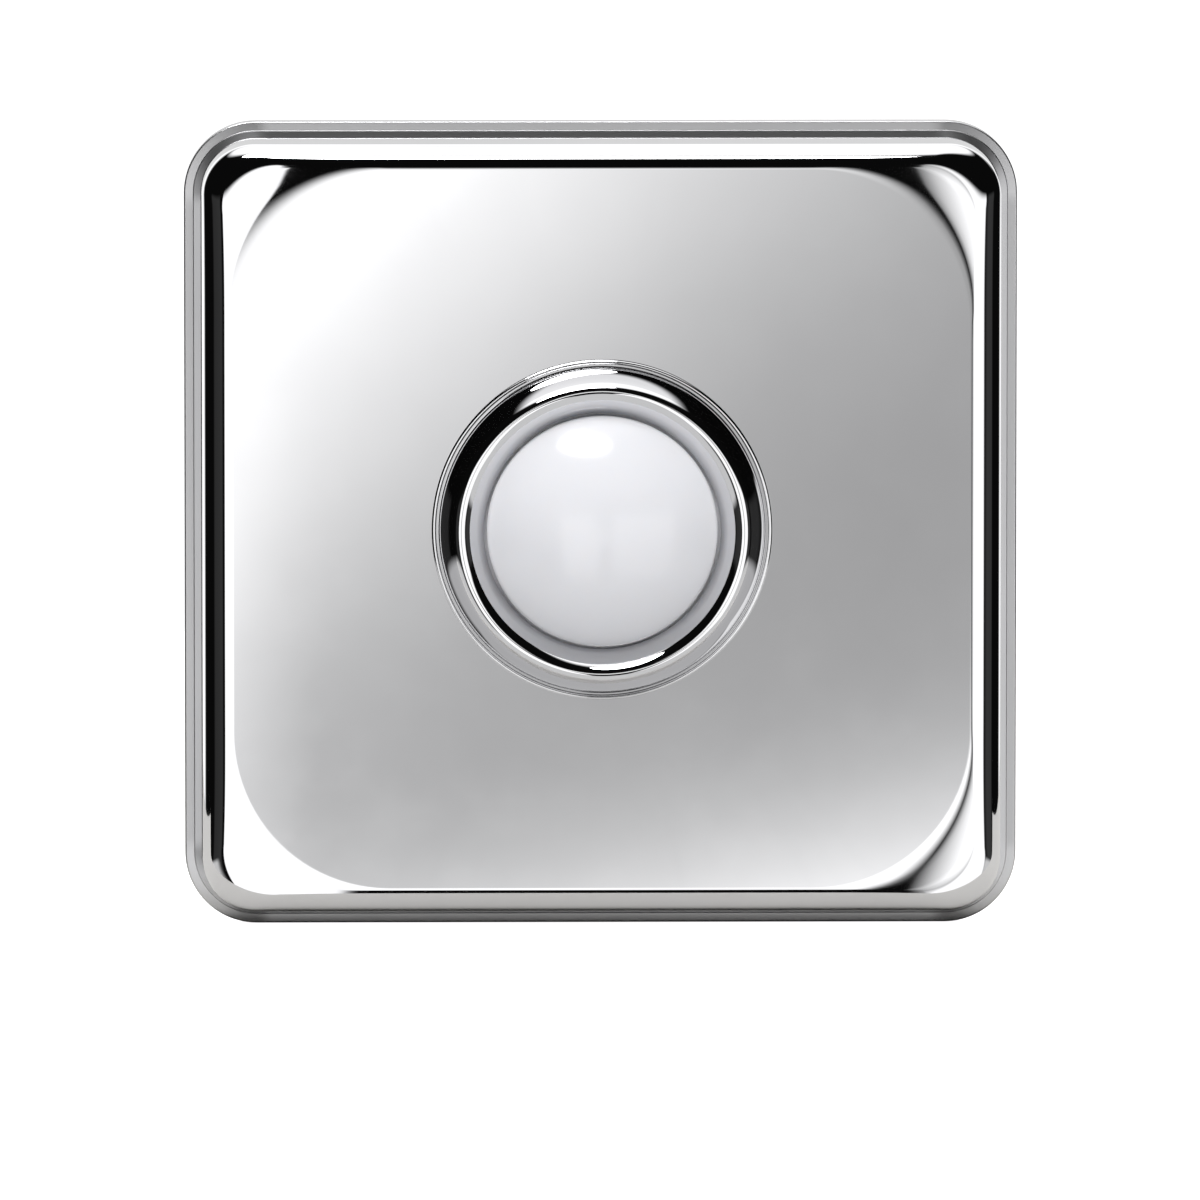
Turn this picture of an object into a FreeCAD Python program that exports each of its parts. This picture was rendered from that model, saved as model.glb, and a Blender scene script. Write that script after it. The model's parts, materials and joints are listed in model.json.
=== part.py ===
import FreeCAD, Part
import os
import re
import Sketcher

# Surface-mounted doorbell push button: a chromed cover with a round bezel and an opal button,
# over a moulded base that is screwed to the wall.
# Frame: the origin is the centre of the back, on the wall plane. X runs across, Z runs up and
# the front looks along -Y. "Up" in a profile is the height above the wall, so it is drawn as -Y.

V = FreeCAD.Vector
doc = FreeCAD.newDocument("DoorbellPush")
sheet = doc.addObject("Spreadsheet::Sheet", "Sizes")
parts = []

# Sizes in millimetres, angles in degrees
sizes = {
    # Cover
    "plate_width": 65.0,  # side to side
    "plate_height": 62.8,  # bottom to top
    "plate_corner": 5.6,  # corner radius of the outline
    "flange_width": 0.75,  # flat step round the foot
    "flange_thick": 1.5,  # height of that step
    "flange_round": 0.15,  # rounding of its outer edge
    "foot_round": 0.15,  # fillet where the wall meets the step
    "wall_draft": 8.0,  # lean of the side wall
    "roll_radius": 2.0,  # roll from side wall to face
    "face_corner": 11.0,  # corner radius where the roll meets the face
    "corner_delay": 4,  # how late on the roll its corners open out
    "cover_wall": 1.2,  # thickness of the shell
    "catch_lift": 0.4,  # catch rib above the floor of the base
    "catch_depth": 0.6,  # how far a catch rib stands in from the wall
    "catch_height": 1.0,  # catch rib, along the depth
    "catch_length": 7.0,  # catch rib, along the wall

    # Bezel and what clamps it
    "lip_gap": 0.2,  # button in the lip's opening
    "lip_thick": 0.7,  # lip behind the funnel
    "lip_rise": 0.9,  # back of the lip above the cover's face
    "funnel_width": 1.05,  # funnel from the lip out
    "funnel_drop": 0.85,  # depth of the funnel
    "crest_ledge": 0.05,  # small flat round the mouth of the funnel
    "crest_rise": 0.75,  # that flat to the crest
    "crest_roll": 0.7,  # roll over the crest
    "flank_radius": 5.5,  # bulge of the outer flank
    "flank_angle": 50.0,  # how far the crest rolls over before the flank
    "bezel_land": 0.32,  # flat between the flank and the edge of the foot
    "bezel_step": 0.4,  # height of the foot
    "collar_wall": 0.9,  # threaded collar
    "collar_gap": 0.1,  # collar in the cover's hole
    "seal_inset": 0.2,  # seal from the cover's hole
    "seal_width": 0.8,  # seal, across its section
    "seal_thick": 0.6,  # seal, along the depth
    "washer_width": 2.7,  # washer beyond the collar
    "washer_thick": 0.5,  # washer, along the depth
    "nut_width": 2.5,  # ring nut beyond the collar
    "nut_thick": 2.0,  # ring nut, along the depth
    "nut_slot_width": 2.4,  # spanner slot, across
    "nut_slot_depth": 1.1,  # spanner slot, in from the edge
    "nut_slots": 6,  # number of spanner slots
    "thread_gap": 0.05,  # a threaded pair, drawn plain
    "clip_wire": 0.7,  # snap ring wire
    "clip_bite": 0.25,  # snap ring standing in over the carrier's rim
    "clip_play": 0.1,  # carrier to snap ring with the button fully in
    "clip_setback": 0.6,  # snap ring from the end of the collar
    "clip_groove_gap": 0.05,  # snap ring in its groove
    "clip_angle": 325.0,  # how far the snap ring goes round

    # Button, carrier and moving contact
    "travel": 1.5,  # stroke of the button
    "stop_gap": 0.05,  # button flange to lip at rest
    "cap_step": 1.12,  # flange beyond the button's side
    "cap_flange": 1.0,  # thickness of that flange
    "cap_edge_rise": 0.3,  # straight side of the button above the lip
    "cap_edge_round": 0.6,  # rounded edge of the dome
    "dome_rise": 3.0,  # rise of the dome above its edge
    "cap_wall": 1.2,  # wall of the button
    "guide_gap": 0.08,  # running clearance of the flange in its bore
    "spigot_gap": 0.05,  # carrier spigot in the button
    "spigot_rise": 1.3,  # height of the spigot
    "spigot_wall": 1.1,  # wall of the spigot
    "carrier_thick": 1.4,  # carrier plate
    "carrier_inset": 0.2,  # rim of the carrier inside the guide bore
    "light_gap": 1.1,  # hole for the light beyond the lamp's rim
    "spring_seat_depth": 0.8,  # groove for the spring in the carrier
    "peg_radius": 0.5,  # pegs that hold the moving contact
    "peg_count": 4,  # number of pegs
    "peg_head": 0.2,  # peg standing past the contact
    "peg_gap": 0.05,  # peg in its hole
    "contact_width": 2.4,  # moving contact ring, across
    "contact_thick": 0.4,  # moving contact ring, along the depth
    "contact_inset": 0.8,  # that ring inside the guide bore
    "contact_gap": 0.05,  # ring to stud with the button fully in

    # Return spring
    "spring_wire": 0.5,  # wire diameter
    "spring_turns": 5.5,  # number of turns
    "spring_gap": 0.25,  # spring in its seats, on each side

    # Base
    "base_thick": 1.8,  # floor of the base
    "base_gap": 0.6,  # base inside the cover at the wall
    "turret_inset": 0.2,  # round stand under the switch, inside the guide bore
    "bed_height": 3.0,  # where the contact strips lie
    "fence_rise": 0.5,  # sides of the strip channel, above the bed
    "fence_wall": 0.8,  # sides of the strip channel, across
    "strip_gap": 0.05,  # strip in its channel, each side
    "lead_groove": 0.9,  # width of the groove for the lamp leads
    "groove_floor": 1.0,  # height of the groove's floor
    "screw_inset": 0.525,  # wall screws, in from midway between nut and cover
    "screw_hole": 2.0,  # radius of the wall screw holes
    "screw_head": 7.8,  # countersink diameter at the boss
    "sink_angle": 90.0,  # countersink angle
    "boss_radius": 5.0,  # boss round a wall screw
    "boss_height": 3.4,  # top of that boss
    "cable_hole": 4.0,  # radius of the cable entry
    "cable_inset": 14.35,  # cable entry from the left and lower edges of the base
    "cable_rim": 0.9,  # collar round the cable entry
    "cable_rim_rise": 0.8,  # height of that collar
    "hook_wall": 1.2,  # snap hook arm
    "hook_length": 6.0,  # snap hook, along the side
    "hook_inset": 15.45,  # snap hooks from the top and bottom of the cover's inside
    "hook_gap": 0.12,  # barb to the inside of the cover
    "hook_play": 0.1,  # barb in front of the catch rib
    "barb_length": 1.4,  # slope of the barb

    # Contact strips, their studs, rivets and terminals
    "strip_thick": 0.5,  # brass strip
    "strip_width": 4.0,  # brass strip, across
    "strip_inset": 0.85,  # inner end of a strip from the spring's seat
    "strip_reach": 3.4,  # outer end of a strip from its terminal
    "tab_rise": 1.5,  # turned-up end of a strip
    "stud_inset": 0.2,  # stud's tail from the lead's groove
    "stud_head": 1.1,  # radius of a stud's head
    "stud_head_thick": 1.0,  # height of that head
    "stud_dome": 0.25,  # height of the dome on the head
    "stud_shank": 0.55,  # radius of its shank
    "stud_tail": 0.9,  # radius of its peened tail
    "stud_tail_thick": 0.3,  # thickness of that tail
    "rivet_shank": 1.0,  # radius of a strip rivet
    "rivet_head": 1.6,  # radius of its head
    "rivet_head_top": 1.28,  # radius of the head's flat top
    "rivet_head_thick": 0.4,  # thickness of its head
    "rivet_foot": 1.7,  # radius of the set end at the back
    "rivet_foot_thick": 0.4,  # thickness of that end
    "rivet_sink": 0.8,  # recess at the back of the base
    "pin_gap": 0.05,  # rivets and screws in their holes, on the radius
    "terminal_inset": 1.075,  # terminals, in from midway between nut and cover
    "terminal_shank": 1.45,  # radius of the terminal screw
    "terminal_point": 0.29,  # chamfer at the end of that screw
    "terminal_length": 3.3,  # length of that screw under its head
    "terminal_head": 2.7,  # radius of its head
    "terminal_head_thick": 1.9,  # height of its head
    "head_round": 0.9,  # rounding of the head
    "driver_slot": 0.7,  # width of the driver slot
    "driver_depth": 0.9,  # depth of the driver slot
    "clamp_side": 5.4,  # square clamp washer
    "clamp_corner": 0.6,  # its corners
    "clamp_thick": 0.6,  # its thickness
    "clamp_hole": 1.6,  # radius of its hole

    # Lamp
    "board_thick": 0.8,  # lamp board
    "board_margin": 0.35,  # board beyond the resistor
    "board_gap": 0.85,  # board to the spring's wire
    "lamp_radius": 1.5,  # lamp body
    "lamp_rim": 1.9,  # radius of the rim at the foot of the lamp
    "lamp_rim_thick": 0.6,  # thickness of that rim
    "lamp_straight": 3.0,  # straight part of the lamp above its rim
    "resistor_long": 1.6,  # chip resistor, along
    "resistor_wide": 0.8,  # chip resistor, across
    "resistor_thick": 0.5,  # chip resistor, along the depth
    "resistor_gap": 0.25,  # chip resistor from the lamp's rim
    "lead_wire": 0.5,  # lamp lead, diameter
    "lead_bend": 0.4,  # bend of the lead's middle line
    "lead_height": 1.35,  # middle of the lead above the wall
    "lead_start": 2.4,  # inner end of a lead
    "lead_lap": 0.6,  # outer end of a lead under its strip
}
for row, (alias, value) in enumerate(sizes.items(), 1):
    sheet.set(f"A{row}", alias)
    sheet.set(f"B{row}", str(value))
    sheet.setAlias(f"B{row}", alias)
doc.recompute()

# Heights above the wall, stacked from the base up to the button
stripTop = "(bed_height + strip_thick)"
clampTop = f"({stripTop} + clamp_thick)"
studTop = f"({stripTop} + stud_head_thick)"
contactBack = f"({studTop} + contact_gap + travel)"
carrierBack = f"({contactBack} + contact_thick)"
springTop = f"({carrierBack} + spring_seat_depth)"
carrierFront = f"({carrierBack} + carrier_thick)"
flangeFront = f"({carrierFront} + cap_flange)"
lipBack = f"({flangeFront} + stop_gap)"
lipFront = f"({lipBack} + lip_thick)"
capEdge = f"({lipFront} + cap_edge_rise)"
domeTop = f"({capEdge} + dome_rise)"
funnelTop = f"({lipFront} + funnel_drop)"
crest = f"({funnelTop} + crest_rise)"
plateDepth = f"({lipBack} - lip_rise)"
faceBack = f"({plateDepth} - cover_wall)"
nutFront = f"({faceBack} - washer_thick)"
clipHeight = f"({carrierBack} - travel - clip_play - clip_wire / 2)"
collarEnd = f"({clipHeight} - clip_setback)"
catchBack = "(base_thick + catch_lift)"
boardTop = "(base_thick + board_thick)"

# Radii, from the lamp out to the bezel
boardRadius = "(lamp_rim + resistor_gap + resistor_wide + board_margin)"
springMiddle = f"({boardRadius} + board_gap + spring_wire / 2)"
springSeat = f"({springMiddle} + spring_wire / 2 + 2 * spring_gap)"
stripStart = f"({springSeat} + strip_inset)"
leadEnd = f"({stripStart} + lead_lap)"
grooveEnd = f"({leadEnd} + lead_groove / 2)"
studPlace = f"({grooveEnd} + stud_inset + pin_gap + stud_tail)"
guideRadius = f"({studPlace} + contact_width / 2 + contact_inset)"
capRadius = f"({guideRadius} - guide_gap - cap_step)"
capBore = f"({capRadius} - cap_wall)"
domeRadius = f"(({capRadius}^2 + dome_rise^2) / (2 * dome_rise))"
clipMiddle = f"({guideRadius} - carrier_inset - clip_bite + clip_wire / 2)"
lipRadius = f"({capRadius} + lip_gap)"
funnelRadius = f"({lipRadius} + funnel_width)"
crestInner = f"({funnelRadius} + crest_ledge)"
collarRadius = f"({guideRadius} + collar_wall)"
collarHole = f"({collarRadius} + collar_gap)"
sealInner = f"({collarHole} + seal_inset)"
sealOuter = f"({sealInner} + seal_width)"
nutOuter = f"({collarRadius} + nut_width)"

# Places across the plate: inside of the cover, terminals, wall screws and cable
innerHalf = "(plate_width / 2 - flange_width - cover_wall)"
innerTall = "(plate_height / 2 - flange_width - cover_wall)"
terminalPlace = f"(({nutOuter} + {innerHalf}) / 2 - terminal_inset)"
stripEnd = f"({terminalPlace} + strip_reach)"
rivetPlace = f"(({studPlace} + {terminalPlace}) / 2)"
screwPlace = f"(({nutOuter} + {innerTall}) / 2 - screw_inset)"
hookPlace = f"({innerTall} - hook_inset)"
cableAcross = f"-({innerHalf} - base_gap - cable_inset)"
cableUp = f"-({innerTall} - base_gap - cable_inset)"


def bound(formula):
    def mark(found):
        word = found.group(0)
        return f"Sizes.{word}" if word in sizes else word

    return re.sub(r"[a-z][a-z_]*", mark, formula)


def tie(thing, path, formula):
    thing.setExpression(path, bound(formula))


def newBody(label):
    body = doc.addObject("PartDesign::Body", label)
    body.Label = label
    parts.append(body)
    return body


def newSketch(body, role, name, offset="0"):
    # offset moves the sketch along its plane's normal: -Y for XZ_Plane, +Z for XY_Plane
    plane = next(one for one in body.Origin.OriginFeatures if one.Role == role)
    sketch = body.newObject("Sketcher::SketchObject", f"{body.Label}_{name}")
    sketch.AttachmentSupport = [(plane, "")]
    sketch.MapMode = "FlatFace"
    tie(sketch, ".AttachmentOffset.Base.z", offset)
    return sketch


def hold(sketch, kind, *where):
    return sketch.addConstraint(Sketcher.Constraint(kind, *where))


def placePoint(sketch, shape, end, across, up):
    # the sketch's own origin is point 1 of geometry -1
    for kind, formula in (("DistanceX", across), ("DistanceY", up)):
        tie(sketch, f"Constraints[{hold(sketch, kind, -1, 1, shape, end, 1.0)}]", formula)


def arcGuess(start, end, side):
    # a first arc between two points, bulging to the right of the way there for side 1
    chord = end.sub(start)
    reach = chord.Length * 0.75
    sideways = V(-chord.y, chord.x, 0).normalize()
    rise = (reach**2 - (chord.Length / 2) ** 2) ** 0.5
    centre = start.add(chord * 0.5).add(sideways * (rise * side))
    circle = Part.Circle(centre, V(0, 0, 1), reach)
    first, last = circle.parameter(start), circle.parameter(end)
    if side < 0:
        first, last = last, first
    if last < first:
        last += circle.LastParameter
    return Part.ArcOfCircle(circle, first, last)


def profile(sketch, points, bends=None, closed=True):
    # an outline through the points; bends maps an edge's number to (radius, side)
    bends = bends or {}
    marks = []
    for number, (across, up) in enumerate(points):
        mark = sketch.addGeometry(Part.Point(V(number + 1.0, 1.0, 0)), True)
        placePoint(sketch, mark, 1, across, up)
        marks.append(mark)
    sketch.recompute()
    places = [sketch.getPoint(mark, 1) for mark in marks]
    for number in range(len(marks) if closed else len(marks) - 1):
        mark, after = marks[number], (number + 1) % len(marks)
        start, end = places[number], places[after]
        ends = (1, 2)
        if number in bends:
            radius, side = bends[number]
            edge = sketch.addGeometry(arcGuess(start, end, side), False)
            ends = (1, 2) if side > 0 else (2, 1)
        else:
            edge = sketch.addGeometry(Part.LineSegment(start, end), False)
        hold(sketch, "Coincident", edge, ends[0], mark, 1)
        hold(sketch, "Coincident", edge, ends[1], marks[after], 1)
        if number in bends:
            given = sketch.Geometry[edge].Radius
            tie(sketch, f"Constraints[{hold(sketch, 'Radius', edge, given)}]", radius)
    sketch.recompute()


def disc(sketch, across, up, radius):
    ring = sketch.addGeometry(Part.Circle(V(1, 1, 0), V(0, 0, 1), 1.0), False)
    placePoint(sketch, ring, 3, across, up)
    tie(sketch, f"Constraints[{hold(sketch, 'Radius', ring, 1.0)}]", radius)
    sketch.recompute()


def roundedBox(sketch, width, height, corner, across="0", up="0"):
    left, right = f"({across} - ({width}) / 2)", f"({across} + ({width}) / 2)"
    low, high = f"({up} - ({height}) / 2)", f"({up} + ({height}) / 2)"
    points = [
        (f"{left} + {corner}", low),
        (f"{right} - {corner}", low),
        (right, f"{low} + {corner}"),
        (right, f"{high} - {corner}"),
        (f"{right} - {corner}", high),
        (f"{left} + {corner}", high),
        (left, f"{high} - {corner}"),
        (left, f"{low} + {corner}"),
    ]
    profile(sketch, points, {edge: (corner, 1) for edge in (1, 3, 5, 7)})


def box(sketch, left, right, low, high):
    profile(sketch, [(left, low), (right, low), (right, high), (left, high)])


def finish(feature, grows):
    # a feature that adds or removes nothing is a mistake in its direction
    body = feature.getParentGeoFeatureGroup()
    before = feature.BaseFeature.Shape.Volume if feature.BaseFeature else 0.0
    doc.recompute()
    change = feature.Shape.Volume - before
    if (change > 0) != grows or abs(change) < 1e-6:
        raise RuntimeError(f"{feature.Name} in {body.Label} changes the volume by {change:.4f}")
    body.Tip = feature
    return feature


def extrude(body, kind, name, sketch, length, **options):
    feature = body.newObject(f"PartDesign::{kind}", f"{body.Label}_{name}")
    feature.Profile = sketch
    for option, value in options.items():
        setattr(feature, option, value)
    tie(feature, "Length", length)
    sketch.Visibility = False
    return finish(feature, kind == "Pad")


def pad(body, name, sketch, length, **options):
    return extrude(body, "Pad", name, sketch, length, **options)


def pocket(body, name, sketch, length, **options):
    return extrude(body, "Pocket", name, sketch, length, **options)


def turn(body, name, sketch, angle="360"):
    feature = body.newObject("PartDesign::Revolution", f"{body.Label}_{name}")
    feature.Profile = sketch
    feature.ReferenceAxis = (sketch, ["V_Axis"])
    tie(feature, "Angle", angle)
    return finish(feature, True)


def loft(body, name, sketches, ruled=False, kind="AdditiveLoft"):
    feature = body.newObject(f"PartDesign::{kind}", f"{body.Label}_{name}")
    feature.Profile = sketches[0]
    feature.Sections = sketches[1:]
    feature.Ruled = ruled
    return finish(feature, kind == "AdditiveLoft")


def soften(body, name, radius, chosen):
    # fillet on the edges of the body so far that chosen(edge) picks
    base = body.Tip
    picked = [f"Edge{i + 1}" for i, edge in enumerate(base.Shape.Edges) if chosen(edge)]
    if not picked:
        raise RuntimeError(f"no edge to round for {name} in {body.Label}")
    feature = body.newObject("PartDesign::Fillet", f"{body.Label}_{name}")
    feature.Base = (base, picked)
    tie(feature, "Radius", radius)
    doc.recompute()
    body.Tip = feature
    return feature


def ringOf(body, name, base, count):
    feature = body.newObject("PartDesign::PolarPattern", f"{body.Label}_{name}")
    feature.Originals = [base]
    axis = next(one for one in body.Origin.OriginFeatures if one.Role == "Y_Axis")
    feature.Axis = (axis, [""])
    feature.Angle = 360
    tie(feature, "Occurrences", count)
    body.Tip = feature
    doc.recompute()
    return feature


def minus(formula):
    return f"-({formula})"


def turned(body, points, bends=None, name="profile", angle="360"):
    # a revolved piece: points are (radius, height above the wall)
    sketch = newSketch(body, "XY_Plane", name)
    profile(sketch, [(radius, minus(height)) for radius, height in points], bends)
    return turn(body, f"{name}_turned", sketch, angle)


def atHeight(edge, height):
    return all(abs(-vertex.Y - height) < 0.001 for vertex in edge.Vertexes)


def isRing(edge):
    return not edge.Degenerated and edge.isClosed() and isinstance(edge.Curve, Part.Circle)


# Cover: a drawn shell. Its corners tighten up the wall and over the roll, and open out late,
# so that shallow crescents lie between the roll and the wide corners of the flat face.
# inward is how far a skin lies inside the outer one: nothing for the outside, the wall inside.
def coverSection(body, name, share, inward, skinRoll, skinDepth, delay):
    lean = f"(wall_draft + {share} * (90 - wall_draft))"
    wallRun = f"(({skinDepth} - {skinRoll} * (1 - sin(wall_draft)) - flange_thick) * tan(wall_draft))"
    inset = f"(flange_width + {inward} + {wallRun} + {skinRoll} * (cos(wall_draft) - cos({lean})))"
    tight = f"(plate_corner - {inset})"
    tightest = f"(plate_corner - flange_width - {inward} - {wallRun} - {skinRoll} * cos(wall_draft))"
    opening = f"(face_corner - {inward} - {tightest}) * (1 - cos({lean}))^{delay}"
    corner = f"({tight} + {opening})"
    sketch = newSketch(body, "XZ_Plane", name, f"{skinDepth} - {skinRoll} * (1 - sin({lean}))")
    roundedBox(sketch, f"plate_width - 2 * {inset}", f"plate_height - 2 * {inset}", corner)
    return sketch


def coverSkin(body, skin, inward, skinRoll, skinDepth, delay, shares, kind):
    roll = [coverSection(body, f"{skin}_{i}", share, inward, skinRoll, skinDepth, delay)
            for i, share in enumerate(shares)]
    foot = newSketch(body, "XZ_Plane", f"{skin}_foot", "flange_thick")
    roundedBox(foot, f"plate_width - 2 * (flange_width + {inward})",
               f"plate_height - 2 * (flange_width + {inward})",
               f"(plate_corner - flange_width - {inward})")
    loft(body, f"{skin}_wall", [foot, roll[0]], True, kind)
    loft(body, f"{skin}_roll", roll, False, kind)


def makeCover():
    body = newBody("cover_plate")
    outline = newSketch(body, "XZ_Plane", "outline")
    roundedBox(outline, "plate_width", "plate_height", "plate_corner")
    pad(body, "flange", outline, "flange_thick")
    coverSkin(body, "outer", "0", "roll_radius", plateDepth, "corner_delay",
              ("0", "0.25", "0.5", "0.7", "0.85", "1"), "AdditiveLoft")
    soften(body, "flange_round", "flange_round", lambda edge: onFlange(edge, 0))
    soften(body, "foot_round", "foot_round",
           lambda edge: onFlange(edge, sheet.get("flange_width")))
    hollow = newSketch(body, "XZ_Plane", "hollow", "flange_thick")
    roundedBox(hollow, "plate_width - 2 * (flange_width + cover_wall)",
               "plate_height - 2 * (flange_width + cover_wall)",
               "(plate_corner - flange_width - cover_wall)")
    pocket(body, "back_opening", hollow, "flange_thick")
    coverSkin(body, "inner", "cover_wall", "(roll_radius - cover_wall)", faceBack, "1",
              ("0", "0.3", "0.6", "1"), "SubtractiveLoft")
    hole = newSketch(body, "XZ_Plane", "bezel_hole", plateDepth)
    disc(hole, "0", "0", collarHole)
    pocket(body, "bezel_bore", hole, "cover_wall")
    catchRibs(body)


def onFlange(edge, inset):
    # an edge of the step's front that runs along the outline, moved in by inset
    across = sheet.get("plate_width") / 2 - inset
    up = sheet.get("plate_height") / 2 - inset
    return atHeight(edge, sheet.get("flange_thick")) and all(
        abs(abs(vertex.X) - across) < 0.001 or abs(abs(vertex.Z) - up) < 0.001
        for vertex in edge.Vertexes)


def catchRibs(body):
    for side in (-1, 1):
        for level in (-1, 1):
            sketch = newSketch(body, "XZ_Plane", f"catch_{side + 1}{level + 1}", catchBack)
            middle = f"({level} * {hookPlace})"
            box(sketch, f"{side} * ({innerHalf} + cover_wall / 2)",
                f"{side} * ({innerHalf} - {catchBack} * tan(wall_draft) - catch_depth)",
                f"{middle} - catch_length / 2", f"{middle} + catch_length / 2")
            pad(body, f"catch_{side + 1}{level + 1}_rib", sketch, "catch_height")


# Bezel: a turned ring with a rolled bead, a funnel down to the lip and a threaded collar
def makeBezel():
    body = newBody("bezel_ring")
    foot = f"({plateDepth} + bezel_step)"
    crestMiddle = f"({crestInner} + crest_roll)"
    shoulder = f"({crestMiddle} + crest_roll * sin(flank_angle))"
    shoulderUp = f"({crest} - crest_roll * (1 - cos(flank_angle)))"
    flankIn = f"({shoulder} - flank_radius * sin(flank_angle))"
    flankDown = f"({shoulderUp} - flank_radius * cos(flank_angle))"
    flankFoot = f"({flankIn} + sqrt(flank_radius^2 - ({foot} - {flankDown})^2))"
    edgeIn = f"({flankFoot} + bezel_land)"
    edgeOut = f"({edgeIn} + bezel_step / 2)"
    points = [
        (collarRadius, collarEnd),
        (collarRadius, plateDepth),
        (sealInner, plateDepth),
        (sealInner, f"{plateDepth} + seal_thick"),
        (sealOuter, f"{plateDepth} + seal_thick"),
        (sealOuter, plateDepth),
        (edgeOut, plateDepth),
        (edgeOut, f"{plateDepth} + bezel_step / 2"),
        (edgeIn, foot),
        (flankFoot, foot),
        (shoulder, shoulderUp),
        (crestInner, f"{crest} - crest_roll"),
        (crestInner, funnelTop),
        (funnelRadius, funnelTop),
        (lipRadius, lipFront),
        (lipRadius, lipBack),
        (guideRadius, lipBack),
        (guideRadius, collarEnd),
    ]
    bends = {7: ("bezel_step / 2", -1), 9: ("flank_radius", -1), 10: ("crest_roll", -1)}
    turned(body, points, bends)
    groove = newSketch(body, "XY_Plane", "clip_groove")
    half = "(clip_wire / 2 + clip_groove_gap)"
    box(groove, f"{clipMiddle} - {half}", f"{clipMiddle} + {half}",
        minus(f"{clipHeight} + {half}"), minus(f"{clipHeight} - {half}"))
    cut = body.newObject("PartDesign::Groove", "bezel_ring_clip_groove_cut")
    cut.Profile = groove
    cut.ReferenceAxis = (groove, ["V_Axis"])
    finish(cut, False)


def annulus(label, inner, outer, low, high):
    body = newBody(label)
    turned(body, [(inner, low), (outer, low), (outer, high), (inner, high)])
    return body


def makeNut():
    body = annulus("bezel_nut", f"{collarRadius} + thread_gap", nutOuter,
                   f"{nutFront} - nut_thick", nutFront)
    slot = newSketch(body, "XZ_Plane", "slot", nutFront)
    box(slot, f"{nutOuter} - nut_slot_depth", f"{nutOuter} + nut_slot_depth",
        "-nut_slot_width / 2", "nut_slot_width / 2")
    ringOf(body, "slots", pocket(body, "slot_cut", slot, "nut_thick"), "nut_slots")


def makeClip():
    body = newBody("snap_ring")
    sketch = newSketch(body, "XY_Plane", "wire")
    disc(sketch, clipMiddle, minus(clipHeight), "clip_wire / 2")
    turn(body, "ring", sketch, "clip_angle")


# Button: an opal cap, hollow below the dome, with a flange that stops behind the lip
def makeButton():
    body = newBody("push_button")
    innerDome = f"({domeRadius} - cap_wall)"
    domeCentre = f"({domeTop} - {domeRadius})"
    points = [
        ("0", domeTop),
        ("0", f"{domeTop} - cap_wall"),
        (capBore, f"{domeCentre} + sqrt({innerDome}^2 - {capBore}^2)"),
        (capBore, carrierFront),
        (f"{capRadius} + cap_step", carrierFront),
        (f"{capRadius} + cap_step", flangeFront),
        (capRadius, flangeFront),
        (capRadius, capEdge),
    ]
    turned(body, points, {1: (innerDome, 1), 7: (domeRadius, -1)})
    front = max(-edge.Vertexes[0].Y for edge in body.Shape.Edges if isRing(edge))
    soften(body, "edge_round", "cap_edge_round",
           lambda edge: isRing(edge) and atHeight(edge, front))


# the first peg; the others follow round the same circle
pegMiddle = (f"{studPlace} * sin(180 / peg_count)", f"{studPlace} * cos(180 / peg_count)")


def makeCarrier():
    body = newBody("button_carrier")
    spigot = f"({capBore} - spigot_gap)"
    rim = f"({guideRadius} - carrier_inset)"
    seatIn = f"({springMiddle} - spring_wire / 2 - spring_gap)"
    seatOut = f"({springMiddle} + spring_wire / 2 + spring_gap)"
    lightHole = "(lamp_rim + light_gap)"
    points = [
        (lightHole, carrierBack),
        (seatIn, carrierBack),
        (seatIn, springTop),
        (seatOut, springTop),
        (seatOut, carrierBack),
        (rim, carrierBack),
        (rim, carrierFront),
        (spigot, carrierFront),
        (spigot, f"{carrierFront} + spigot_rise"),
        (f"{spigot} - spigot_wall", f"{carrierFront} + spigot_rise"),
        (f"{spigot} - spigot_wall", carrierFront),
        (lightHole, carrierFront),
    ]
    turned(body, points)
    peg = newSketch(body, "XZ_Plane", "peg", f"{contactBack} - peg_head")
    disc(peg, *pegMiddle, "peg_radius")
    pegPad = pad(body, "peg_pad", peg, f"{carrierBack} - ({contactBack} - peg_head)")
    ringOf(body, "pegs", pegPad, "peg_count")


def makeMovingContact():
    body = annulus("moving_contact", f"{studPlace} - contact_width / 2",
                   f"{studPlace} + contact_width / 2", contactBack, carrierBack)
    hole = newSketch(body, "XZ_Plane", "hole", carrierBack)
    disc(hole, *pegMiddle, "peg_radius + peg_gap")
    ringOf(body, "holes", pocket(body, "hole_cut", hole, "contact_thick"), "peg_count")


def makeSpring():
    body = newBody("return_spring")
    sketch = newSketch(body, "XY_Plane", "wire")
    disc(sketch, springMiddle, minus("base_thick + spring_wire / 2"), "spring_wire / 2")
    coil = body.newObject("PartDesign::AdditiveHelix", "return_spring_coil")
    coil.Profile = sketch
    coil.ReferenceAxis = (sketch, ["V_Axis"])
    coil.Mode = "height-turns-angle"
    coil.Reversed = True
    tie(coil, "Height", f"{springTop} - base_thick - spring_wire")
    tie(coil, "Turns", "spring_turns")
    finish(coil, True)


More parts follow.
